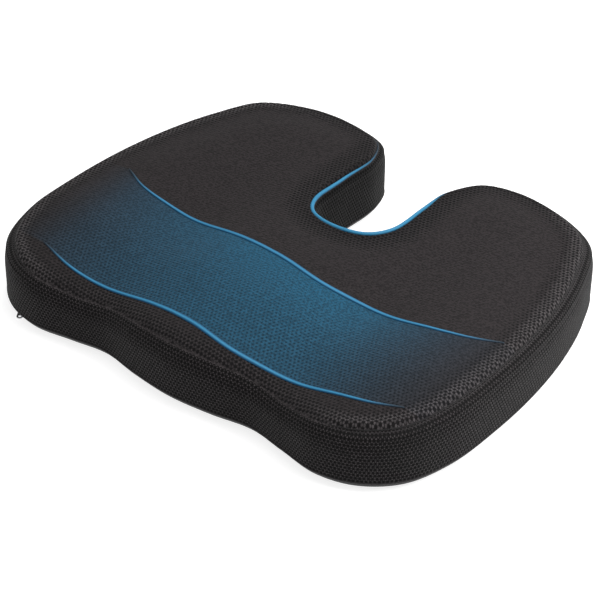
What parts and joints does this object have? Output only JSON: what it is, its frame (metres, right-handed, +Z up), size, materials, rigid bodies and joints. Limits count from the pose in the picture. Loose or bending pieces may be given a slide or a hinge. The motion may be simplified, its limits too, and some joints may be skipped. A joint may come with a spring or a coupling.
{
  "type": "seat cushion",
  "caption": "Contoured U-shaped seat cushion with a foam core, sewn mesh cover, coloured accent lines and a zip in its underside.",
  "frame": {"origin": "centre of the cushion's underside, on the surface it rests on", "axes": "+Z up, +X to the sitter's left when seated with the legs towards -Y, the tailbone cut-out opens towards +Y"},
  "size_m": [0.45, 0.3554, 0.0631],
  "materials": {
    "foam": "open-cell memory foam, matt",
    "top_mesh": "black air mesh with small hexagonal holes",
    "side_mesh": "black air mesh with small hexagonal holes",
    "base_cloth": "black cloth with small grip dots",
    "thread": "black sewing thread",
    "blue_line": "bright blue trim, satin",
    "zip_tape": "woven tape, matt",
    "zip_coil": "nylon coil, semi-matt",
    "zip_metal": "plated metal, lightly worn"
  },
  "bodies": {
    "cushion": {"foam_core": "foam", "cover_top_panel": "top_mesh", "cover_side_band": "side_mesh", "cover_cutout_band": "side_mesh", "cover_bottom_panel": "base_cloth", "top_seam_thread": "thread", "bottom_seam_thread": "thread", "cutout_piping": "blue_line", "rear_accent_line": "blue_line", "front_accent_line": "blue_line", "zip_tape_inner": "zip_tape", "zip_tape_outer": "zip_tape", "zip_coil_inner": "zip_coil", "zip_coil_outer": "zip_coil", "zip_rear_stop": "zip_metal", "zip_front_stop_inner": "zip_metal", "zip_front_stop_outer": "zip_metal"},
    "slider": {"zip_slider": "zip_metal"},
    "pull": {"zip_pull": "zip_metal"}
  },
  "joints": [
    {"name": "zip_slide", "type": "hinge", "parent": "cushion", "child": "slider", "pos_m": [0.04, -0.022, 0.004], "axis": [0, 0, 1], "range_deg": [-58.5, 0]},
    {"name": "pull_hinge", "type": "hinge", "parent": "slider", "child": "pull", "pos_m": [-0.17282, -0.16266, 0.0015], "axis": [0.8499, 0.527, 0], "range_deg": [0, 150]}
  ]
}
